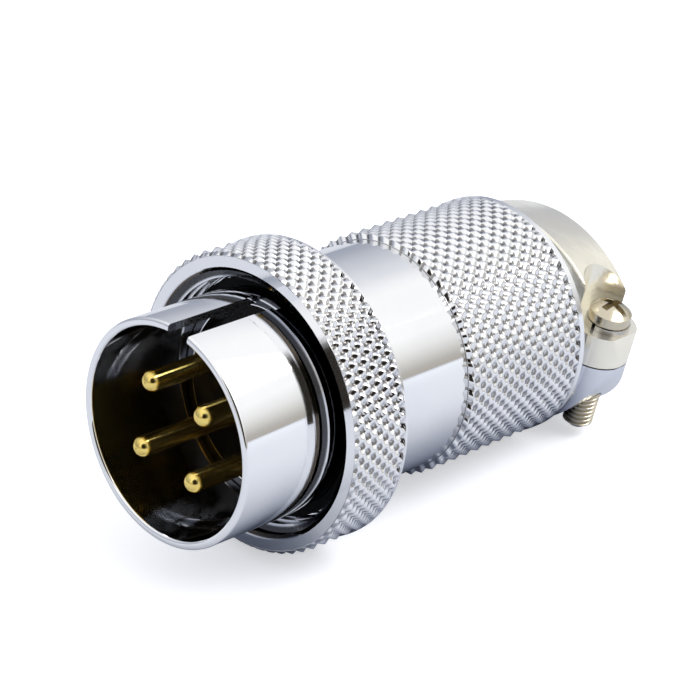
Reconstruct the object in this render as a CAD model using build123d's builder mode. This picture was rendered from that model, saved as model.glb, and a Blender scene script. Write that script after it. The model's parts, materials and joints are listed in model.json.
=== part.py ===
"""Cable plug of a round metal connector with four pins, lying on its coupling ring and back sleeve.

Lengths are millimetres. Places along the plug count from the barrel's front rim towards the cable.
"""

import os
from math import atan2, cos, degrees, pi, radians, sin

from build123d import *

os.makedirs("parts", exist_ok=True)

# Barrel that enters the socket
barrel_d = 21.5
barrel_wall = 0.8
barrel_length = 10.0
rim_round = 0.3
slot_width = 2.5
slot_overrun = 1.3
key_roll = 6.9

# Shell behind the barrel
body_d = 22.5
seal_groove_d = 20.4
seal_groove_width = 2.4
shoulder_d = 23.5
ledge_bore_d = 19.0
ledge_overhang = 0.2
insert_bore_d = 19.6
back_thread_d = 21.9
back_thread_length = 6.6
snap_groove_depth = 0.5

# Coupling ring and the parts that hold it
ring_wall = 2.0
ring_length = 6.3
ring_rim = 0.35
ring_thread_d = 25.0
ring_thread_length = 4.2
ring_relief_d = 25.5
ring_flange = 1.2
ring_mouth_chamfer = 0.4
ring_nose_chamfer = 0.55
ring_knurl_depth = 0.4
ring_knurl_round = 61
ring_knurl_half_rows = 8
thrust_washer_d = 23.4
thrust_washer_width = 0.35
gasket_d = 22.9
gasket_width = 1.0

# Pins
pin_count = 4
pin_d = 2.0
pin_circle_d = 9.76
pin_recess = 0.26
pin_shoulder_d = 3.4
pin_shoulder = 3.2
pin_tail_d = 2.6
pin_tail = 9.6
cup_bore_d = 1.9
cup_depth = 4.2
cup_scarf = 2.6

# Insulators and their snap ring
front_insulator_length = 7.6
back_insulator_length = 5.0
clip_width = 1.0
clip_band = 0.9
clip_opening = 3.6
clip_ear_d = 2.4
clip_ear_hole_d = 1.2

# Knurled sleeve at the back
sleeve_d = 23.9
sleeve_front = 27.8
sleeve_length = 16.0
sleeve_rim = 0.75
sleeve_knurl_depth = 0.3
sleeve_knurl_round = 50
sleeve_knurl_half_rows = 19
sleeve_seat_bore_d = 14.0
sleeve_back_bore_d = 17.2
sleeve_back_bore = 6.8

# Broken back edges of coupling ring and sleeve, on which the plug lies
edge_break = 0.15

# Cable seal inside the sleeve
grommet_length = 3.0
grommet_bore_d = 11.2
grommet_chamfer = 0.5
slip_washer_bore_d = 12.8
slip_washer_width = 0.6

# Cable clamp
clamp_roll = 11.9
clamp_front = 45.3
clamp_width = 6.8
clamp_d = 25.8
clamp_corner = 3.35
collar_d = 18.4
cable_bore_d = 12.0
grip_groove = 0.4
grip_groove_width = 1.0
grip_groove_count = 3
ear_top = 3.4
under_d = 26.0
under_rise = 2.0
arch_drop = 4.2
arch_front_d = 29.4
arch_back_d = 26.6
arch_edge = 0.25
pocket_d = 7.2

# Clamp screws and their spring washers
screw_spread = 20.0
screw_d = 3.0
screw_root_d = 2.5
screw_tip = 8.5
screw_tip_chamfer = 0.4
screw_hole_d = 3.4
screw_head_d = 4.2
screw_head = 1.8
screw_head_dome = 0.8
recess_reach = 2.6
recess_width = 0.7
recess_depth = 1.0
driver_slot_width = 0.6
driver_slot_depth = 0.55
spring_washer_d = 4.5
spring_washer_bore_d = 3.2
spring_washer_width = 0.6
spring_washer_cut = 0.4

# Clearances: on the radius, along an axis, and between the clamp's halves
fit_gap = 0.1
running_gap = 0.08
thread_gap = 0.05
face_gap = 0.1
split_gap = 0.15

# Sizes that follow from others
ring_d = ring_thread_d + 2 * ring_wall

# Places along the plug
ring_back = barrel_length + ring_length
flange_front = ring_back - ring_flange
washer_front = flange_front - face_gap / 2 - thrust_washer_width
seal_back = barrel_length + seal_groove_width
ledge_back = seal_back + ledge_overhang
insert_joint = barrel_length + front_insulator_length
clip_front = insert_joint + back_insulator_length
shell_back = sleeve_front + back_thread_length
sleeve_back = sleeve_front + sleeve_length
seat_back = sleeve_back - sleeve_back_bore
slip_front = seat_back + grommet_length
neck_front = slip_front + slip_washer_width
clamp_back = clamp_front + clamp_width
clamp_mid = clamp_front + clamp_width / 2

# The plug lies on the back edges of ring and sleeve, so its axis falls towards the cable
fall = atan2((ring_d - sleeve_d) / 2, sleeve_back - ring_back)
axis_height = ring_d / 2 * cos(fall) + (ring_back - edge_break) * sin(fall)
arch_top = (arch_back_d / 2 - arch_drop) * cos(radians(clamp_roll))
back_reach = clamp_back * cos(fall) + arch_top * sin(fall)
front_reach = barrel_d / 2 * sin(fall)
nose = Vector((front_reach - back_reach) / 2, 0, axis_height)
rearward = Vector(cos(fall), 0, -sin(fall))
centre_line = Axis(nose, rearward)


def across(place, roll=0.0):
    """Plane square to the plug's axis: local z to the cable, local y up, rolled towards the key side."""
    side = Vector(0, 1, 0).rotate(Axis((0, 0, 0), rearward), roll)
    return Plane(origin=nose + rearward * place, x_dir=side, z_dir=rearward)


def spoke(roll=0.0, radius=0.0):
    """Plane that holds the plug's axis and one radius: local x to the cable, local y outwards."""
    face = across(0, roll)
    return Plane(
        origin=face.from_local_coords((0, radius, 0)), x_dir=rearward, z_dir=face.x_dir * -1
    )


def over_clamp(height):
    """Plane square to the clamp screws: local x to the cable, local y across the plug."""
    face = across(clamp_mid, clamp_roll)
    return Plane(
        origin=face.from_local_coords((0, height, 0)), x_dir=rearward, z_dir=face.y_dir
    )


def knurled_bar(diameter, depth, front, length, round_count, half_rows):
    """Bar with a side of staggered four-sided pyramids, their points on the given diameter."""
    tip = diameter / 2
    root = tip - depth

    def corner(step, row, radius):
        angle = step * pi / round_count
        spot = (radius * sin(angle), radius * cos(angle), row * length / half_rows)
        return across(front).from_local_coords(spot)

    facets = []
    for row in range(half_rows + 1):
        for step in range(row % 2 + 1, 2 * round_count + row % 2 + 1, 2):
            peak = corner(step, row, tip)
            left = corner(step - 1, row, root)
            right = corner(step + 1, row, root)
            if row > 0:
                ahead = corner(step, row - 1, root)
                facets += [(left, peak, ahead), (ahead, peak, right)]
            if row < half_rows:
                behind = corner(step, row + 1, root)
                facets += [(peak, left, behind), (behind, right, peak)]
    for row in (0, half_rows):
        radii = [tip if (step + row) % 2 else root for step in range(2 * round_count)]
        facets.append([corner(step, row, radius) for step, radius in enumerate(radii)])
    return Solid(Shell([Face(Wire.make_polygon(facet, close=True)) for facet in facets]))


def finish(piece, name):
    """Labels a finished piece and writes its file."""
    piece.part.label = name
    export_step(piece.part, f"parts/{name}.step")


# Plug shell: barrel, seal groove, shoulder for the coupling ring, body and back thread, in one piece
shoulder_back = washer_front - face_gap / 2
clip_groove = (clip_front, clip_front + clip_width + face_gap)
clip_groove_r = insert_bore_d / 2 + snap_groove_depth
with BuildPart() as plug_shell:
    with BuildSketch(spoke()):
        with BuildLine():
            Polyline(
                (0, barrel_d / 2 - barrel_wall),
                (0, barrel_d / 2),
                (barrel_length + face_gap, barrel_d / 2),
                (barrel_length + face_gap, seal_groove_d / 2),
                (seal_back, seal_groove_d / 2),
                (seal_back, shoulder_d / 2),
                (shoulder_back, shoulder_d / 2),
                (shoulder_back, body_d / 2),
                (sleeve_front - face_gap, body_d / 2),
                (sleeve_front - face_gap, back_thread_d / 2),
                (shell_back, back_thread_d / 2),
                (shell_back, insert_bore_d / 2),
                (clip_groove[1], insert_bore_d / 2),
                (clip_groove[1], clip_groove_r),
                (clip_groove[0], clip_groove_r),
                (clip_groove[0], insert_bore_d / 2),
                (ledge_back, insert_bore_d / 2),
                (ledge_back, ledge_bore_d / 2),
                (barrel_length, ledge_bore_d / 2),
                (barrel_length, barrel_d / 2 - barrel_wall),
                close=True,
            )
        make_face()
    revolve(axis=centre_line)
    fillet(plug_shell.edges().group_by(centre_line)[0], radius=rim_round)
    with BuildSketch(across(-fit_gap, key_roll)):
        with Locations((0, barrel_d / 2)):
            Rectangle(slot_width, 2 * barrel_wall)
    extrude(amount=fit_gap + barrel_length + slot_overrun, mode=Mode.SUBTRACT)
finish(plug_shell, "plug_shell")

# Sealing gasket: flat rubber ring behind the barrel
with BuildPart() as sealing_gasket:
    with BuildSketch(across(seal_back - gasket_width)):
        Circle(gasket_d / 2)
        Circle(seal_groove_d / 2 + fit_gap / 2, mode=Mode.SUBTRACT)
    extrude(amount=gasket_width)
finish(sealing_gasket, "sealing_gasket")

# Thrust washer between the shell's shoulder and the coupling ring's flange
with BuildPart() as thrust_washer:
    with BuildSketch(across(washer_front)):
        Circle(thrust_washer_d / 2)
        Circle(body_d / 2 + running_gap, mode=Mode.SUBTRACT)
    extrude(amount=thrust_washer_width)
finish(thrust_washer, "thrust_washer")

# Coupling ring: diamond knurl, chamfered nose, threaded mouth and an inner flange on the body
ring_knurl = knurled_bar(
    ring_d,
    ring_knurl_depth,
    barrel_length,
    ring_length - ring_rim,
    ring_knurl_round,
    ring_knurl_half_rows,
)
with BuildPart() as coupling_ring:
    add(ring_knurl)
    with BuildSketch(across(ring_back - ring_rim)):
        Circle(ring_d / 2)
    extrude(amount=ring_rim)
    with BuildSketch(spoke()):
        with BuildLine():
            Polyline(
                (barrel_length, 0),
                (barrel_length, ring_thread_d / 2 + ring_mouth_chamfer),
                (barrel_length + ring_mouth_chamfer, ring_thread_d / 2),
                (barrel_length + ring_thread_length, ring_thread_d / 2),
                (barrel_length + ring_thread_length, ring_relief_d / 2),
                (flange_front, ring_relief_d / 2),
                (flange_front, body_d / 2 + running_gap),
                (ring_back, body_d / 2 + running_gap),
                (ring_back, 0),
                close=True,
            )
        make_face()
        with BuildLine():
            Polyline(
                (barrel_length, ring_d / 2 - ring_nose_chamfer),
                (barrel_length + ring_nose_chamfer, ring_d / 2),
                (barrel_length, ring_d / 2),
                close=True,
            )
        make_face()
        with BuildLine():
            Polyline(
                (ring_back, ring_d / 2 - edge_break),
                (ring_back - edge_break, ring_d / 2),
                (ring_back, ring_d / 2),
                close=True,
            )
        make_face()
    revolve(axis=centre_line, mode=Mode.SUBTRACT)
finish(coupling_ring, "coupling_ring")

# Front insulator: nose through the shell's ledge, with pockets at the back for the pins' shoulders
pin_roll = key_roll + 180 / pin_count
with BuildPart() as front_insulator:
    with BuildSketch(across(barrel_length)):
        Circle(ledge_bore_d / 2 - fit_gap)
    extrude(amount=front_insulator_length)
    with BuildSketch(across(ledge_back)):
        Circle(insert_bore_d / 2 - fit_gap)
    extrude(amount=insert_joint - ledge_back)
    with BuildSketch(across(barrel_length, pin_roll)):
        with PolarLocations(pin_circle_d / 2, pin_count, start_angle=90):
            Circle(pin_d / 2 + fit_gap / 2)
    extrude(amount=front_insulator_length, mode=Mode.SUBTRACT)
    with BuildSketch(across(insert_joint, pin_roll)):
        with PolarLocations(pin_circle_d / 2, pin_count, start_angle=90):
            Circle(pin_shoulder_d / 2 + fit_gap / 2)
    extrude(amount=-pin_shoulder, mode=Mode.SUBTRACT)
finish(front_insulator, "front_insulator")

# Back insulator: disc that shuts the pockets behind the shoulders
with BuildPart() as back_insulator:
    with BuildSketch(across(insert_joint, pin_roll)):
        Circle(insert_bore_d / 2 - fit_gap)
        with PolarLocations(pin_circle_d / 2, pin_count, start_angle=90):
            Circle(pin_tail_d / 2 + fit_gap / 2, mode=Mode.SUBTRACT)
    extrude(amount=back_insulator_length)
finish(back_insulator, "back_insulator")

# Snap ring with two eyes behind the insulators
clip_r = clip_groove_r - fit_gap
eye_x = (clip_opening + clip_ear_d) / 2
eye_y = -(clip_r - clip_ear_d / 2 - clip_band / 2)
with BuildPart() as insulator_clip:
    with BuildSketch(across(clip_front + face_gap / 2)):
        Circle(clip_r)
        Circle(clip_r - clip_band, mode=Mode.SUBTRACT)
        with Locations((0, -clip_r)):
            Rectangle(clip_opening, clip_r, mode=Mode.SUBTRACT)
        with Locations((-eye_x, eye_y), (eye_x, eye_y)):
            Circle(clip_ear_d / 2)
            Circle(clip_ear_hole_d / 2, mode=Mode.SUBTRACT)
    extrude(amount=clip_width)
finish(insulator_clip, "insulator_clip")

# Contact pins: round tip, trapped shoulder and a solder cup cut open on its outer side
tail_back = insert_joint + pin_tail
for number in range(pin_count):
    pin_plane = spoke(pin_roll + number * 360 / pin_count, pin_circle_d / 2)
    with BuildPart() as contact_pin:
        with BuildSketch(pin_plane):
            with BuildLine():
                TangentArc(
                    (pin_recess, 0), (pin_recess + pin_d / 2, pin_d / 2), tangent=(0, 1)
                )
                Polyline(
                    (pin_recess + pin_d / 2, pin_d / 2),
                    (insert_joint - pin_shoulder, pin_d / 2),
                    (insert_joint - pin_shoulder, pin_shoulder_d / 2),
                    (insert_joint, pin_shoulder_d / 2),
                    (insert_joint, pin_tail_d / 2),
                    (tail_back, pin_tail_d / 2),
                    (tail_back, cup_bore_d / 2),
                    (tail_back - cup_depth, cup_bore_d / 2),
                    (tail_back - cup_depth - cup_bore_d / 4, 0),
                    (pin_recess, 0),
                )
            make_face()
        revolve(axis=Axis(pin_plane.origin, rearward))
        with BuildSketch(pin_plane):
            with BuildLine():
                Polyline(
                    (tail_back - cup_scarf, pin_tail_d / 2),
                    (tail_back, pin_tail_d / 2),
                    (tail_back, 0),
                    close=True,
                )
            make_face()
        extrude(amount=pin_tail_d, both=True, mode=Mode.SUBTRACT)
    finish(contact_pin, f"contact_pin_{number + 1}")

# Back sleeve: diamond knurl outside, a thread for the shell in front and one for the clamp's neck
sleeve_knurl = knurled_bar(
    sleeve_d,
    sleeve_knurl_depth,
    sleeve_front,
    sleeve_length - sleeve_rim,
    sleeve_knurl_round,
    sleeve_knurl_half_rows,
)
with BuildPart() as rear_sleeve:
    add(sleeve_knurl)
    with BuildSketch(across(sleeve_back - sleeve_rim)):
        Circle(sleeve_d / 2)
    extrude(amount=sleeve_rim)
    with BuildSketch(spoke()):
        with BuildLine():
            Polyline(
                (sleeve_front, 0),
                (sleeve_front, back_thread_d / 2 + thread_gap),
                (shell_back + face_gap, back_thread_d / 2 + thread_gap),
                (shell_back + face_gap, sleeve_seat_bore_d / 2),
                (seat_back, sleeve_seat_bore_d / 2),
                (seat_back, sleeve_back_bore_d / 2),
                (sleeve_back, sleeve_back_bore_d / 2),
                (sleeve_back, 0),
                close=True,
            )
        make_face()
        with BuildLine():
            Polyline(
                (sleeve_back, sleeve_d / 2 - edge_break),
                (sleeve_back - edge_break, sleeve_d / 2),
                (sleeve_back, sleeve_d / 2),
                close=True,
            )
        make_face()
    revolve(axis=centre_line, mode=Mode.SUBTRACT)
finish(rear_sleeve, "rear_sleeve")

# Cable grommet: rubber bushing squeezed between the sleeve's seat and the clamp's neck
with BuildPart() as cable_grommet:
    with BuildSketch(across(seat_back)):
        Circle(sleeve_back_bore_d / 2 - fit_gap)
        Circle(grommet_bore_d / 2, mode=Mode.SUBTRACT)
    extrude(amount=grommet_length)
    mouth = cable_grommet.edges().filter_by(GeomType.CIRCLE).sort_by(SortBy.RADIUS)[:2]
    chamfer(mouth, length=grommet_chamfer)
finish(cable_grommet, "cable_grommet")

# Slip washer that lets the neck turn without dragging the grommet
with BuildPart() as slip_washer:
    with BuildSketch(across(slip_front)):
        Circle(sleeve_back_bore_d / 2 - fit_gap)
        Circle(slip_washer_bore_d / 2, mode=Mode.SUBTRACT)
    extrude(amount=slip_washer_width)
finish(slip_washer, "slip_washer")


# Way of the cable through the clamp: a bore with grip grooves between its ribs
grip_pitch = clamp_width / (grip_groove_count + 1)
with BuildPart() as cable_way:
    with BuildSketch(across(neck_front)):
        Circle(cable_bore_d / 2)
    extrude(amount=clamp_back - neck_front)
    for number in range(grip_groove_count):
        groove_mid = clamp_front + (number + 1) * grip_pitch
        with BuildSketch(across(groove_mid - grip_groove_width / 2)):
            Circle(cable_bore_d / 2 + grip_groove)
        extrude(amount=grip_groove_width)

# Clamp body: threaded neck, collar and the lower half of the clamp with its tapped ears
with BuildPart() as clamp_body:
    with BuildSketch(across(clamp_front, clamp_roll)):
        with Locations((0, under_rise)):
            Circle(under_d / 2)
        with Locations((0, -split_gap / 2)):
            Rectangle(clamp_d, clamp_d, align=(Align.CENTER, Align.MIN), mode=Mode.SUBTRACT)
    extrude(amount=clamp_width)
    with BuildSketch(over_clamp(0)):
        RectangleRounded(clamp_width, clamp_d, clamp_corner)
    extrude(amount=-clamp_d, mode=Mode.INTERSECT)
    with BuildSketch(over_clamp(0)):
        with Locations((0, -screw_spread / 2), (0, screw_spread / 2)):
            Circle(screw_d / 2 + thread_gap)
    extrude(amount=-clamp_d, mode=Mode.SUBTRACT)
    with BuildSketch(across(neck_front)):
        Circle(sleeve_back_bore_d / 2 - thread_gap)
    extrude(amount=sleeve_back + face_gap - neck_front)
    with BuildSketch(across(sleeve_back + face_gap)):
        Circle(collar_d / 2)
    extrude(amount=clamp_front - sleeve_back - face_gap)
    add(cable_way.part, mode=Mode.SUBTRACT)
finish(clamp_body, "clamp_body")

# Clamp saddle: tapered arch between two ears, with a pocket round each screw head
with BuildPart() as clamp_saddle:
    with BuildSketch(across(clamp_front + face_gap, clamp_roll)):
        with Locations((0, -arch_drop)):
            Circle(arch_front_d / 2)
    with BuildSketch(across(clamp_back, clamp_roll)):
        with Locations((0, -arch_drop)):
            Circle(arch_back_d / 2)
    loft()
    with BuildSketch(across(clamp_front, clamp_roll)):
        with Locations((0, split_gap / 2)):
            Rectangle(screw_spread, arch_front_d, align=(Align.CENTER, Align.MIN))
    extrude(amount=clamp_width, mode=Mode.INTERSECT)
    arch_rims = clamp_saddle.edges().filter_by(GeomType.CIRCLE)
    fillet(arch_rims, radius=arch_edge)
    with BuildSketch(across(clamp_front + face_gap, clamp_roll)):
        Circle(clamp_d / 2)
        with Locations((0, split_gap / 2)):
            Rectangle(
                clamp_d,
                ear_top - split_gap / 2,
                align=(Align.CENTER, Align.MIN),
                mode=Mode.INTERSECT,
            )
    extrude(amount=clamp_width - face_gap)
    with BuildSketch(over_clamp(0)):
        RectangleRounded(clamp_width, clamp_d, clamp_corner)
    extrude(amount=arch_front_d, mode=Mode.INTERSECT)
    with BuildSketch(over_clamp(ear_top)):
        with Locations((0, -screw_spread / 2), (0, screw_spread / 2)):
            Circle(pocket_d / 2)
    extrude(amount=arch_front_d, mode=Mode.SUBTRACT)
    with BuildSketch(over_clamp(0)):
        with Locations((0, -screw_spread / 2), (0, screw_spread / 2)):
            Circle(screw_hole_d / 2)
    extrude(amount=arch_front_d, mode=Mode.SUBTRACT)
    add(cable_way.part, mode=Mode.SUBTRACT)
finish(clamp_saddle, "clamp_saddle")

# Clamp screws, each with a split spring washer under a domed head
head_base = ear_top + spring_washer_width + face_gap / 2
head_top = head_base + screw_head
for number, side in enumerate((-1, 1), start=1):
    clamp_face = across(clamp_mid, clamp_roll)
    screw_plane = Plane(
        origin=clamp_face.from_local_coords((side * screw_spread / 2, 0, 0)),
        x_dir=clamp_face.x_dir,
        z_dir=clamp_face.z_dir,
    )
    with BuildPart() as spring_washer:
        with BuildSketch(over_clamp(ear_top)):
            with Locations((0, side * screw_spread / 2)):
                Circle(spring_washer_d / 2)
                Circle(spring_washer_bore_d / 2, mode=Mode.SUBTRACT)
            with Locations((-spring_washer_d / 2, side * screw_spread / 2)):
                Rectangle(spring_washer_d, spring_washer_cut, mode=Mode.SUBTRACT)
        extrude(amount=spring_washer_width)
    finish(spring_washer, f"spring_washer_{number}")

    with BuildPart() as clamp_screw:
        with BuildSketch(screw_plane):
            with BuildLine():
                TangentArc(
                    (0, head_top), (screw_head_d / 2, head_top - screw_head_dome), tangent=(1, 0)
                )
                Polyline(
                    (screw_head_d / 2, head_top - screw_head_dome),
                    (screw_head_d / 2, head_base),
                    (screw_root_d / 2, head_base),
                    (screw_root_d / 2, screw_tip_chamfer - screw_tip),
                    (screw_root_d / 2 - screw_tip_chamfer, -screw_tip),
                    (0, -screw_tip),
                    (0, head_top),
                )
            make_face()
        revolve(axis=Axis(screw_plane.origin, screw_plane.y_dir))
        with BuildSketch(over_clamp(head_top)):
            with Locations((0, side * screw_spread / 2)):
                Rectangle(recess_reach, recess_width)
                Rectangle(recess_width, recess_reach)
        extrude(amount=-recess_depth, mode=Mode.SUBTRACT)
        with BuildSketch(over_clamp(head_top)):
            with Locations((0, side * screw_spread / 2)):
                Rectangle(driver_slot_width, screw_head_d)
        extrude(amount=-driver_slot_depth, mode=Mode.SUBTRACT)
    finish(clamp_screw, f"clamp_screw_{number}")

print("axis falls", degrees(fall), "rim centre", nose, "axis", rearward)
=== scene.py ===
import json
from math import cos, pi, radians, sin, tau

import bpy
import bmesh
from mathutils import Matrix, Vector


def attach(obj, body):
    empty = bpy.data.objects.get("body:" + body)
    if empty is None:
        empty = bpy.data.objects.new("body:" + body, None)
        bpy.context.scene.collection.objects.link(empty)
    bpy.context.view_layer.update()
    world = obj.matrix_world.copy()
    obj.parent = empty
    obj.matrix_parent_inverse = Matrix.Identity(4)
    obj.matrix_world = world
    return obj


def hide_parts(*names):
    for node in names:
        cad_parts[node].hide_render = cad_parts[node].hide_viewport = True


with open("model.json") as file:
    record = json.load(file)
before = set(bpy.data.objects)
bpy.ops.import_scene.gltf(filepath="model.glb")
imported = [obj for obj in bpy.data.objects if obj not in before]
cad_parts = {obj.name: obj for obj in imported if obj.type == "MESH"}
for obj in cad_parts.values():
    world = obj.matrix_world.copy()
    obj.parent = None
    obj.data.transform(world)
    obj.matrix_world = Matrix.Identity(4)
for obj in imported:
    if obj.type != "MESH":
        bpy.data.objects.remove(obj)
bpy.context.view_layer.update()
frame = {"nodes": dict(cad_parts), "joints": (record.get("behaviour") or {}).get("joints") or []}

nodes = frame["nodes"]
joints = {joint["name"]: joint for joint in frame["joints"]}


# Plug shell: one turned brass part with the keyed barrel, the seal groove and the smooth body.
# It is polished and plated with bright chrome, which keeps faint turning marks and wiping haze.
# Its profile's places and radii are in millimetres, and the slot's sizes in metres.
class Wire:
    """An output in a material, so that shader maths reads as plain arithmetic."""

    def __init__(self, sheet, socket):
        self.sheet = sheet
        self.socket = socket

    def maths(self, operation, *values):
        return self.sheet.node("ShaderNodeMath", {"operation": operation}, dict(enumerate(values)))

    def __add__(self, other):
        return self.maths("ADD", self, other)

    def __sub__(self, other):
        return self.maths("SUBTRACT", self, other)

    def __mul__(self, other):
        return self.maths("MULTIPLY", self, other)

    def __rsub__(self, other):
        return self.maths("SUBTRACT", other, self)

    __radd__ = __add__
    __rmul__ = __mul__

    def between(self, low, high):
        """0 at low, 1 at high, smooth on the way."""
        settings = {"interpolation_type": "SMOOTHSTEP"}
        return self.sheet.node("ShaderNodeMapRange", settings, {0: self, 1: low, 2: high})


class Sheet:
    """The nodes of one material, lamp or world."""

    def __init__(self, tree):
        self.tree = tree

    def join(self, socket, value):
        if isinstance(value, Wire):
            self.tree.links.new(value.socket, socket)
        else:
            socket.default_value = value

    def node(self, kind, settings=None, sockets=None, output=0):
        made = self.tree.nodes.new(kind)
        for name, value in (settings or {}).items():
            if name == "stops":
                ramp = made.color_ramp.elements
                while len(ramp) < len(value):
                    ramp.new(1.0)
                for stop, (position, colour) in zip(ramp, value):
                    stop.position = position
                    stop.color = (*colour, 1.0)
            else:
                setattr(made, name, value)
        for name, value in (sockets or {}).items():
            self.join(made.inputs[name], value)
        return Wire(self, made.outputs[output])

    def vector(self, operation, first, second, output=0):
        return self.node("ShaderNodeVectorMath", {"operation": operation}, {0: first, 1: second}, output)

    def blend(self, amount, first, second):
        """Colour that goes from first to second."""
        return self.node("ShaderNodeMix", {"data_type": "RGBA"}, {0: amount, 6: first, 7: second}, 2)

    def ripple(self, scale, detail):
        """Noise from 0 to 1 on the piece itself, its grain as many per metre as scale says."""
        return self.node("ShaderNodeTexNoise", {}, {"Vector": self.spot(), "Scale": scale, "Detail": detail})

    def spot(self):
        return self.node("ShaderNodeTexCoord", output="Object")


class Finish(Sheet):
    """A material: constants on the shader's own sockets, and what varies linked to them."""

    def __init__(self, name, **constants):
        self.material = bpy.data.materials.new(name)
        self.material.use_nodes = True
        super().__init__(self.material.node_tree)
        self.shader = self.tree.nodes["Principled BSDF"]
        for socket, value in constants.items():
            self.shader.inputs[socket.replace("_", " ").title().replace("Ior", "IOR")].default_value = value

    def feed(self, **sockets):
        for socket, value in sockets.items():
            self.join(self.shader.inputs[socket.replace("_", " ").title()], value)

    def relief(self, height, depth):
        """Bump of that depth in metres, fed to the shader."""
        bump = self.node("ShaderNodeBump", {}, {"Height": height, "Distance": depth, "Strength": 1.0})
        self.feed(normal=bump)

    def cover(self, *pieces):
        for piece in pieces:
            piece.data.materials.clear()
            piece.data.materials.append(self.material)


ring_turn = joints["ring_spin"]
rearward = Vector(ring_turn["axis"]).normalized()
rim = Vector(ring_turn["pos_m"]) - rearward * 0.01315


def along(finish):
    """Millimetres from the barrel's rim towards the cable."""
    reach = finish.vector("SUBTRACT", finish.spot(), tuple(rim))
    return finish.vector("DOT_PRODUCT", reach, tuple(rearward), "Value") * 1000


def off_axis(finish):
    """Millimetres from the plug's axis."""
    reach = finish.vector("SUBTRACT", finish.spot(), tuple(rim))
    square = finish.vector("CROSS_PRODUCT", reach, tuple(rearward))
    return finish.vector("LENGTH", square, (0, 0, 0), "Value") * 1000


def bright_plate(name, tint, dim, roughness, haze):
    """Plated metal with a little haze: its plain colour and its gloss wander slightly over the surface."""
    plate = Finish(name, metallic=1.0)
    cloud = plate.ripple(160, 4)
    fine = plate.ripple(2600, 2)
    plate.plain = plate.blend(cloud.between(0.3, 0.8), (*tint, 1), (*dim, 1))
    plate.feed(
        base_color=plate.plain,
        roughness=roughness + haze * cloud.between(0.35, 0.75) + haze * 0.4 * fine,
    )
    return plate, cloud, fine


shell_chrome, cloud, fine = bright_plate(
    "shell_chrome", (0.97, 0.975, 0.985), (0.91, 0.92, 0.945), 0.035, 0.05
)
turned = shell_chrome.node(
    "ShaderNodeTexNoise",
    {"noise_dimensions": "1D"},
    {"W": along(shell_chrome), "Scale": 5.0, "Detail": 3.0},
)
shell_chrome.relief(turned * 0.6 + cloud * 0.4, 0.000004)

rim_round = 0.3
barrel_radius = 10.75
barrel_back = 10.1
bore_radius = 9.95
groove_radius = 10.45
groove_back = 13.7
shoulder_radius = 11.75
shoulder_back = 14.65
body_radius = 11.25
body_back = 27.7
back_thread_radius = 10.95
shell_back = 34.4
insert_radius = 9.8
clip_front = 22.6
clip_back = 23.7
clip_radius = 10.3
ledge_front = 11.8
ledge_back = 13.9
ledge_radius = 9.0
place = along(shell_chrome)
radius = off_axis(shell_chrome)
# Painted shade: the seal groove and the ledge inside the barrel are painted nearly black, in place of the
# shade that falls deep in them.
groove = place.between(barrel_back - 0.1, barrel_back + 0.05)
groove = groove * place.between(groove_back - 0.01, groove_back - 0.1)
groove = groove * radius.between(groove_radius - 0.45, groove_radius - 0.25)
groove = groove * radius.between(groove_radius + 0.17, groove_radius + 0.1)
ledge = place.between(ledge_front - 0.2, ledge_front - 0.1)
ledge = ledge * place.between(ledge_front + 1.2, ledge_front + 0.2)
ledge = ledge * radius.between(ledge_radius + 0.06, ledge_radius + 0.12)
ledge = ledge * radius.between(bore_radius + 0.15, bore_radius + 0.05)
painted_shade = (groove + ledge) * 0.95
shell_chrome.feed(base_color=shell_chrome.blend(painted_shade, shell_chrome.plain, (0.02, 0.023, 0.032, 1)))


def turned_form(name, profile, sides):
    """A closed profile of places and radii in millimetres, turned round Z: a circle, extruded and resized."""
    bpy.ops.object.select_all(action="DESELECT")
    bpy.ops.mesh.primitive_circle_add(vertices=sides, radius=profile[0][1] / 1000)
    piece = bpy.context.object
    piece.name = name
    bpy.ops.object.mode_set(mode="EDIT")
    bpy.ops.mesh.select_all(action="SELECT")
    bpy.ops.transform.translate(value=(0, 0, profile[0][0] / 1000))
    for (place, radius), (next_place, next_radius) in zip(profile, profile[1:] + profile[:1]):
        step = (0, 0, (next_place - place) / 1000)
        wider = next_radius / radius
        bpy.ops.mesh.extrude_region_move(TRANSFORM_OT_translate={"value": step})
        bpy.ops.transform.resize(value=(wider, wider, 1), center_override=(0, 0, 0))
    bpy.ops.mesh.select_all(action="SELECT")
    bpy.ops.mesh.remove_doubles(threshold=0.000002)
    bpy.ops.mesh.normals_make_consistent(inside=False)
    bpy.ops.object.mode_set(mode="OBJECT")
    return piece


def settle(piece, place, direction):
    """Turns local Z to a direction, moves to a place, and keeps both in the mesh."""
    piece.rotation_euler = Vector((0, 0, 1)).rotation_difference(direction).to_euler()
    piece.location = place
    bpy.ops.object.select_all(action="DESELECT")
    piece.select_set(True)
    bpy.context.view_layer.objects.active = piece
    bpy.ops.object.transform_apply(location=True, rotation=True, scale=True)
    bpy.ops.object.shade_smooth_by_angle(angle=radians(30))


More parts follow.
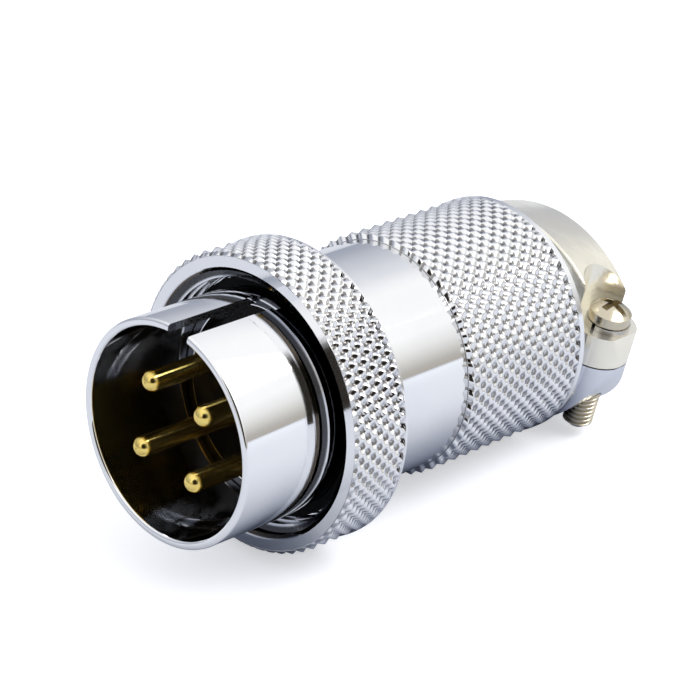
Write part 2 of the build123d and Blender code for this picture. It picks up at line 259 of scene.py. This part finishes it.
quarter = [radians(22.5 * part) for part in range(5)]
outer_rim = [
    (rim_round * (1 - sin(turn)), barrel_radius - rim_round * (1 - cos(turn))) for turn in reversed(quarter)
]
inner_rim = [(rim_round * (1 - sin(turn)), bore_radius + rim_round * (1 - cos(turn))) for turn in quarter]
shell = turned_form(
    "keyed_shell",
    outer_rim + [
        (barrel_back, barrel_radius),
        (barrel_back, groove_radius),
        (groove_back, groove_radius),
        (groove_back, shoulder_radius),
        (shoulder_back, shoulder_radius),
        (shoulder_back, body_radius),
        (body_back, body_radius),
        (body_back, back_thread_radius),
        (shell_back, back_thread_radius),
        (shell_back, insert_radius),
        (clip_back, insert_radius),
        (clip_back, clip_radius),
        (clip_front, clip_radius),
        (clip_front, insert_radius),
        (ledge_back, insert_radius),
        (ledge_back, ledge_radius),
        (ledge_front, ledge_radius),
        (ledge_front, bore_radius),
    ] + inner_rim,
    192,
)
slot_width = 0.0025
slot_back = 0.0113
cutter_depth = 0.003
cutter_length = 0.02
key_turn = radians(180 + 6.9)
key_side = Vector((cos(key_turn), sin(key_turn), 0)) * 0.0105
bpy.ops.object.select_all(action="DESELECT")
bpy.ops.mesh.primitive_cube_add(size=1.0, location=key_side + Vector((0, 0, slot_back - cutter_length / 2)))
cutter = bpy.context.object
cutter.rotation_euler = (0, 0, key_turn)
cutter.scale = (cutter_depth, slot_width, cutter_length)
bpy.ops.object.transform_apply(location=True, rotation=True, scale=True)
bpy.ops.object.select_all(action="DESELECT")
shell.select_set(True)
bpy.context.view_layer.objects.active = shell
keyway = shell.modifiers.new("keyway", "BOOLEAN")
keyway.operation = "DIFFERENCE"
keyway.solver = "EXACT"
keyway.object = cutter
bpy.ops.object.modifier_apply(modifier="keyway")
bpy.data.objects.remove(cutter)
settle(shell, rim, rearward)
shell_chrome.cover(shell)
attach(shell, "plug")
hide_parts("plug_shell")

# Sealing gasket: a flat ring of black rubber, pressed over the barrel's root at the groove's back.
# Its face keeps the dull grain of the moulded sheet that it is cut from.
gasket_rubber = Finish("gasket_rubber", ior=1.5, specular_ior_level=0.12)
grain = gasket_rubber.ripple(5200, 4)
gasket_rubber.feed(
    base_color=gasket_rubber.blend(grain, (0.004, 0.004, 0.005, 1), (0.010, 0.010, 0.012, 1)),
    roughness=0.42 + 0.2 * grain,
)
gasket_rubber.relief(grain, 0.00002)
gasket_front = 12.7
gasket_bore = 10.5
gasket_radius = 11.45
gasket = turned_form(
    "groove_gasket",
    [
        (gasket_front, gasket_bore),
        (gasket_front, gasket_radius),
        (groove_back, gasket_radius),
        (groove_back, gasket_bore),
    ],
    128,
)
settle(gasket, rim, rearward)
gasket_rubber.cover(gasket)
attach(gasket, "plug")
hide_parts("sealing_gasket")

# Coupling ring: chromed brass with a diamond knurl rolled on its outside, with painted shade in the pits,
# strongest on the upper half. Its mouth is threaded, and each turn of the thread has a flat crest.
ring_chrome, cloud, fine = bright_plate(
    "ring_chrome", (0.94, 0.945, 0.96), (0.89, 0.90, 0.93), 0.05, 0.05
)


def knurled(finish, tip, depth, root, front, length, round_count, half_rows):
    """Rounds a knurl's pyramids outside the root radius into beads: their height in mm, and painted shade for
    their pits on the upper half.
    """
    upward = Vector((-rearward.z, 0, rearward.x))
    reach = finish.vector("SUBTRACT", finish.spot(), tuple(rim))
    across = finish.vector("DOT_PRODUCT", reach, (0, 1, 0), "Value")
    above = finish.vector("DOT_PRODUCT", reach, tuple(upward), "Value")
    step = across.maths("ARCTAN2", across, above) * (round_count / pi)
    place = along(finish)
    row = (place - front) * (half_rows / length)
    lean = (step + row).maths("WRAP", (step + row) * 0.5, 0.5, -0.5)
    cross = (step - row).maths("WRAP", (step - row) * 0.5, 0.5, -0.5)
    ridge = lean.maths("COSINE", lean * tau) + cross.maths("COSINE", cross * tau)
    bead = (2 - ridge) * 0.25
    radius = off_axis(finish)
    whole = place.between(front + length, front + length - 0.05) * radius.between(root, root + 0.08)
    spread = lean.maths("ABSOLUTE", lean) - 0.85 * (cross + 0.42)
    # Painted shade in the pits: full above the axis, fading out to nothing 8.5 mm below it.
    shade = spread.between(0.03, -0.06) * cross.between(0.09, 0.01) * whole * above.between(-0.0085, 0.0)
    return (bead * depth - (radius - (tip - depth))) * whole, shade


ring_front = 10.0
relief_back = 15.1
bead, shade = knurled(
    ring_chrome, tip=14.5, depth=0.4, root=13.9, front=ring_front, length=5.95, round_count=61, half_rows=8
)
# Painted shade: the ring's bore, from just behind its front to the relief's back, is painted nearly black as
# the shade deep inside it.
place = along(ring_chrome)
inside = place.between(ring_front + 0.05, ring_front + 0.15)
inside = inside * place.between(relief_back + 0.1, relief_back + 0.02)
inside = inside * off_axis(ring_chrome).between(12.87, 12.8)
shade = shade.maths("MAXIMUM", shade * 0.75, inside * 0.93)
# The ring's painted shade, for its pits and its bore, darkens the chrome's colour towards brown-black.
ring_chrome.feed(base_color=ring_chrome.blend(shade, ring_chrome.plain, (0.055, 0.035, 0.015, 1)))
ring_chrome.relief(bead + fine * 0.003 + cloud * 0.004, 0.001)
ring_chrome.cover(nodes["coupling_ring"])

thread_pitch = 0.00125
thread_turns = 3
thread_base = 0.0126
thread_crest = 0.0118
thread_front = 0.0104


def only(piece, wanted):
    """Selects just the vertices of the piece in edit mode for which wanted(place) is true."""
    bpy.ops.mesh.select_mode(type="VERT")
    bpy.ops.mesh.select_all(action="DESELECT")
    form = bmesh.from_edit_mesh(piece.data)
    for vertex in form.verts:
        vertex.select = wanted(vertex.co)
    form.select_flush(True)
    bmesh.update_edit_mesh(piece.data)


def screw_thread(name, base, crest, pitch, turns, steps, crest_share, base_share):
    """A helical ridge round Z: a square face drawn into a trapezium and swept up the helix."""
    bpy.ops.object.select_all(action="DESELECT")
    bpy.ops.mesh.primitive_plane_add(size=1.0)
    piece = bpy.context.object
    piece.name = name
    bpy.ops.object.mode_set(mode="EDIT")
    bpy.ops.mesh.select_all(action="SELECT")
    bpy.ops.transform.rotate(value=pi / 2, orient_axis="X", center_override=(0, 0, 0))
    bpy.ops.transform.resize(value=(abs(base - crest), 1, pitch * base_share), center_override=(0, 0, 0))
    bpy.ops.transform.translate(value=((base + crest) / 2, 0, 0))
    only(piece, lambda place: abs(place.x - crest) < 1e-6)
    bpy.ops.transform.resize(value=(1, 1, crest_share / base_share), center_override=(crest, 0, 0))
    bpy.ops.mesh.select_all(action="SELECT")
    bpy.ops.mesh.delete(type="ONLY_FACE")
    bpy.ops.object.mode_set(mode="OBJECT")
    sweep = piece.modifiers.new("sweep", "SCREW")
    sweep.axis = "Z"
    sweep.angle = tau
    sweep.screw_offset = pitch
    sweep.iterations = turns
    sweep.steps = steps
    sweep.render_steps = steps
    sweep.use_merge_vertices = False
    bpy.ops.object.modifier_apply(modifier="sweep")
    bpy.ops.object.mode_set(mode="EDIT")
    bpy.ops.mesh.select_mode(type="VERT")
    bpy.ops.mesh.select_all(action="DESELECT")
    bpy.ops.mesh.select_non_manifold()
    bpy.ops.mesh.fill_holes(sides=4)
    bpy.ops.mesh.select_all(action="SELECT")
    bpy.ops.mesh.normals_make_consistent(inside=False)
    bpy.ops.object.mode_set(mode="OBJECT")
    return piece


ring_thread = screw_thread(
    "coupling_thread",
    thread_base,
    thread_crest,
    thread_pitch,
    thread_turns,
    steps=96,
    crest_share=0.34,
    base_share=0.94,
)
settle(ring_thread, rim + rearward * thread_front, rearward)
thread_chrome, cloud, fine = bright_plate(
    "thread_chrome", (0.92, 0.93, 0.96), (0.84, 0.86, 0.90), 0.07, 0.08
)
# Painted shade: the thread's roots next to the ring's wall are painted nearly black, as the shade between the
# turns.
groove = off_axis(thread_chrome).between(11.85, 12.1)
plain = thread_chrome.blend(cloud, (0.92, 0.93, 0.96, 1), (0.84, 0.86, 0.90, 1))
thread_chrome.feed(base_color=thread_chrome.blend(groove * 0.92, plain, (0.015, 0.016, 0.02, 1)))
thread_chrome.relief(fine, 0.00001)
thread_chrome.cover(ring_thread)
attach(ring_thread, "ring")

# Thrust washer: thin spring steel between the shell's shoulder and the ring's flange.
# The ring rubs on it, so its faces are polished in circles.
rubbed_steel = Finish("rubbed_steel", metallic=1.0)
rings = rubbed_steel.node(
    "ShaderNodeTexNoise",
    {"noise_dimensions": "1D"},
    {"W": off_axis(rubbed_steel), "Scale": 14.0, "Detail": 3.0},
)
rubbed_steel.feed(
    base_color=rubbed_steel.blend(rings, (0.44, 0.44, 0.45, 1), (0.62, 0.62, 0.63, 1)),
    roughness=0.2 + 0.2 * rings,
)
rubbed_steel.relief(rings, 0.00001)
rubbed_steel.cover(nodes["thrust_washer"], nodes["slip_washer"], nodes["insulator_clip"])

# Insulators: two discs of glossy black resin that carry the pins. The front one closes the barrel
# and has a narrower nose, which comes through the shell's ledge. The mould leaves a faint flow
# pattern in the gloss.
resin = Finish("insulator_resin", ior=1.5, specular_ior_level=0.08)
flow = resin.ripple(420, 4)
speck = resin.ripple(3600, 2)
resin.feed(
    base_color=resin.blend(flow, (0.003, 0.003, 0.003, 1), (0.007, 0.006, 0.006, 1)),
    roughness=0.10 + 0.14 * flow.between(0.35, 0.8) + 0.05 * speck,
)
resin.relief(flow * 0.8 + speck * 0.2, 0.00001)
insert_front = 0.0118
insert_back = 0.0176
flange_front = 0.0139
flange_radius = 0.00975
nose_radius = 0.00895
bpy.ops.object.select_all(action="DESELECT")
bpy.ops.mesh.primitive_cylinder_add(
    vertices=128,
    radius=flange_radius,
    depth=insert_back - flange_front,
    location=(0, 0, (insert_back + flange_front) / 2),
)
insert = bpy.context.object
insert.name = "pin_insert"
bpy.ops.object.transform_apply(location=True, rotation=True, scale=True)
bpy.ops.object.mode_set(mode="EDIT")
only(insert, lambda place: place.z < flange_front + 0.0001)
bpy.ops.mesh.inset(thickness=flange_radius - nose_radius, depth=0)
bpy.ops.mesh.extrude_region_move(TRANSFORM_OT_translate={"value": (0, 0, insert_front - flange_front)})
bpy.ops.mesh.bevel(offset=0.00012, segments=2, affect="EDGES")
bpy.ops.object.mode_set(mode="OBJECT")
settle(insert, rim, rearward)
resin.cover(insert, nodes["back_insulator"])
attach(insert, "plug")
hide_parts("front_insulator")

# Contact pins: turned brass with a round tip, plated with bright gold.
# The gold is deeper and darker in colour towards the root, deep in the barrel, with fine turning marks round
# the pin.
gold = Finish("pin_gold", metallic=1.0)
cloud = gold.ripple(900, 3)
root = along(gold).between(3.0, 10.0)
gilt = gold.blend(root, (1.0, 0.77, 0.24, 1), (0.95, 0.60, 0.13, 1))
marks = gold.node(
    "ShaderNodeTexNoise",
    {"noise_dimensions": "1D"},
    {"W": along(gold), "Scale": 9.0, "Detail": 3.0},
)
gold.feed(
    base_color=gold.blend(cloud.between(0.4, 0.9) * 0.4, gilt, (0.72, 0.45, 0.08, 1)),
    roughness=0.07 + 0.08 * cloud,
)
gold.relief(marks, 0.000012)
gold.cover(*[nodes[f"contact_pin_{number}"] for number in (1, 2, 3, 4)])

# Back sleeve: the knurled chromed shell that joins the plug to its cable clamp.
# The knurl stops before a smooth rim, and its pits carry painted shade like the ring's.
sleeve_chrome, cloud, fine = bright_plate(
    "sleeve_chrome", (0.94, 0.945, 0.96), (0.88, 0.89, 0.92), 0.055, 0.07
)
bead, shade = knurled(
    sleeve_chrome, tip=11.95, depth=0.3, root=11.24, front=27.8, length=15.25, round_count=50, half_rows=19
)
sleeve_chrome.feed(base_color=sleeve_chrome.blend(shade * 0.7, sleeve_chrome.plain, (0.07, 0.05, 0.03, 1)))
sleeve_chrome.relief(bead + fine * 0.003 + cloud * 0.004, 0.001)
sleeve_chrome.cover(nodes["rear_sleeve"])

# Cable grommet: a soft black rubber bushing behind the sleeve's seat.
# It is duller than the gasket, with a powdery bloom.
soft_rubber = Finish("grommet_rubber", ior=1.5)
bloom = soft_rubber.ripple(1500, 5)
soft_rubber.feed(
    base_color=soft_rubber.blend(bloom, (0.012, 0.012, 0.013, 1), (0.045, 0.045, 0.046, 1)),
    roughness=0.6 + 0.25 * bloom,
)
soft_rubber.relief(bloom, 0.00003)
soft_rubber.cover(nodes["cable_grommet"])

# Cable clamp: the lower half is cast with its threaded neck and plated in bluish chrome, and the
# saddle over it in warm nickel. Under the plate the casting's skin is slightly uneven.
clamp_chrome, cloud, fine = bright_plate(
    "clamp_chrome", (0.83, 0.85, 0.92), (0.75, 0.78, 0.86), 0.10, 0.10
)
clamp_chrome.relief(clamp_chrome.ripple(300, 2) * 0.8 + fine * 0.2, 0.00005)
clamp_chrome.cover(nodes["clamp_body"])

saddle_nickel, cloud, fine = bright_plate(
    "saddle_nickel", (1.0, 0.97, 0.87), (0.93, 0.89, 0.77), 0.12, 0.12
)
saddle_nickel.shader.inputs["Metallic"].default_value = 0.8
saddle_nickel.relief(saddle_nickel.ripple(340, 2) * 0.8 + fine * 0.2, 0.00006)
saddle_nickel.cover(nodes["clamp_saddle"])

# Clamp screws: rolled nickel-plated steel with domed heads, each on a split spring washer.
# The shank's M3 thread is a ridge of its own round each plain core.
screw_nickel, cloud, fine = bright_plate(
    "screw_nickel", (0.72, 0.66, 0.53), (0.60, 0.54, 0.42), 0.13, 0.10
)
screw_nickel.relief(fine, 0.00001)
washer_steel, cloud, fine = bright_plate(
    "washer_steel", (0.62, 0.60, 0.56), (0.50, 0.48, 0.45), 0.2, 0.12
)
washer_steel.relief(fine, 0.00001)
shank_reach = 0.0082
for number, body, turn in ((1, "screw_near", "screw_near_turn"), (2, "screw_far", "screw_far_turn")):
    upward = Vector(joints[turn]["axis"]).normalized()
    foot = Vector(joints[turn]["pos_m"]) - upward * shank_reach
    ridge = screw_thread(
        f"screw_thread_{number}",
        base=0.0012,
        crest=0.0015,
        pitch=0.0005,
        turns=15,
        steps=28,
        crest_share=0.25,
        base_share=0.9,
    )
    settle(ridge, foot, upward)
    screw_nickel.cover(nodes[f"clamp_screw_{number}"], ridge)
    washer_steel.cover(nodes[f"spring_washer_{number}"])
    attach(ridge, body)

# Studio: a pale floor that shows white and keeps the plug's shadow, a bright tent on the near
# side and above, a dimmer far side, and one large soft lamp.
bpy.ops.object.select_all(action="DESELECT")
bpy.ops.mesh.primitive_circle_add(vertices=128, radius=1.6, fill_type="NGON", location=(0, 0, 0))
floor = bpy.context.object
floor.name = "studio_floor"
paper = Finish("floor_paper", roughness=0.9)
seen = paper.node("ShaderNodeLightPath", output="Is Camera Ray")
mirrored = paper.node("ShaderNodeLightPath", output="Is Glossy Ray")
through = paper.node("ShaderNodeLightPath", output="Is Transmission Ray")
# Painted shadow: in reflections the floor takes a darker, bluer tone, darkest where the plug shelters it.
shelter = paper.node("ShaderNodeAmbientOcclusion", {"samples": 6}, {"Distance": 0.03}, "AO")
mirrored_shadow_tone = paper.blend(shelter.between(0.15, 0.95), (0.20, 0.23, 0.32, 1), (0.69, 0.715, 0.775, 1))
paper.feed(
    base_color=paper.blend(mirrored, (0.86, 0.88, 0.93, 1), mirrored_shadow_tone),
    emission_strength=0.5 * seen + 0.06 * through,
)
paper.shader.inputs["Emission Color"].default_value = (1, 1, 1, 1)
paper.cover(floor)

world = bpy.data.worlds.new("studio_tent")
bpy.context.scene.world = world
world.use_nodes = True
tent = Sheet(world.node_tree)
for old in list(world.node_tree.nodes):
    world.node_tree.nodes.remove(old)
outward = tent.node("ShaderNodeTexCoord", output="Generated")
split = tent.node("ShaderNodeSeparateXYZ", {}, {0: outward})
level = Wire(tent, split.socket.node.outputs["Z"])
beyond = Wire(tent, split.socket.node.outputs["Y"])
far_side = tent.node(
    "ShaderNodeValToRGB",
    {"stops": [
        (0.0, (0.36, 0.385, 0.46)),
        (0.2, (0.41, 0.43, 0.50)),
        (0.5, (0.62, 0.64, 0.69)),
        (0.7, (0.86, 0.87, 0.90)),
        (0.85, (1.0, 1.0, 1.0)),
    ]},
    {0: level},
)
near_side = tent.node(
    "ShaderNodeValToRGB",
    {"stops": [
        (0.0, (0.44, 0.41, 0.37)),
        (0.06, (0.48, 0.46, 0.43)),
        (0.26, (0.82, 0.82, 0.80)),
        (0.42, (1.0, 1.0, 1.0)),
        (0.8, (1.0, 1.0, 1.0)),
    ]},
    {0: level},
)
around = tent.blend(beyond.between(-0.05, 0.3), near_side, far_side)
toward = tent.vector("DOT_PRODUCT", outward, tuple(Vector((-0.60, -0.66, 0.40)).normalized()), "Value")
around = tent.blend(toward.between(0.82, 0.93), around, (0.025, 0.021, 0.017, 1))
seen = tent.node("ShaderNodeLightPath", output="Is Camera Ray")
inside = tent.node("ShaderNodeBackground", {}, {"Color": around, "Strength": 1.0})
white = tent.node("ShaderNodeBackground", {}, {"Color": (1, 1, 1, 1), "Strength": 1.0})
mixed = tent.node("ShaderNodeMixShader", {}, {0: seen, 1: inside, 2: white})
tent.join(tent.tree.nodes.new("ShaderNodeOutputWorld").inputs["Surface"], mixed)

lamp = bpy.data.lights.new("soft_lamp", "AREA")
lamp.shape = "RECTANGLE"
lamp.size = 0.55
lamp.size_y = 0.4
lamp.energy = 2.6
lamp.color = (1.0, 0.99, 0.97)
soft_lamp = bpy.data.objects.new("soft_lamp", lamp)
bpy.context.collection.objects.link(soft_lamp)
soft_lamp.location = (0.30, -0.42, 0.62)
soft_lamp.rotation_euler = Vector(soft_lamp.location).to_track_quat("Z", "Y").to_euler()

# Camera: the photograph's view, from the front left and above.
lens = bpy.data.cameras.new("photo_view")
lens.lens = 141.9
lens.sensor_width = 36
lens.clip_start = 0.01
camera = bpy.data.objects.new("photo_view", lens)
bpy.context.collection.objects.link(camera)
camera.location = (-0.16459, -0.16037, 0.138596)
camera.rotation_euler = (radians(90 - 28.36), 0, radians(-45.33))
bpy.context.scene.camera = camera
bpy.context.scene.view_settings.view_transform = "Standard"
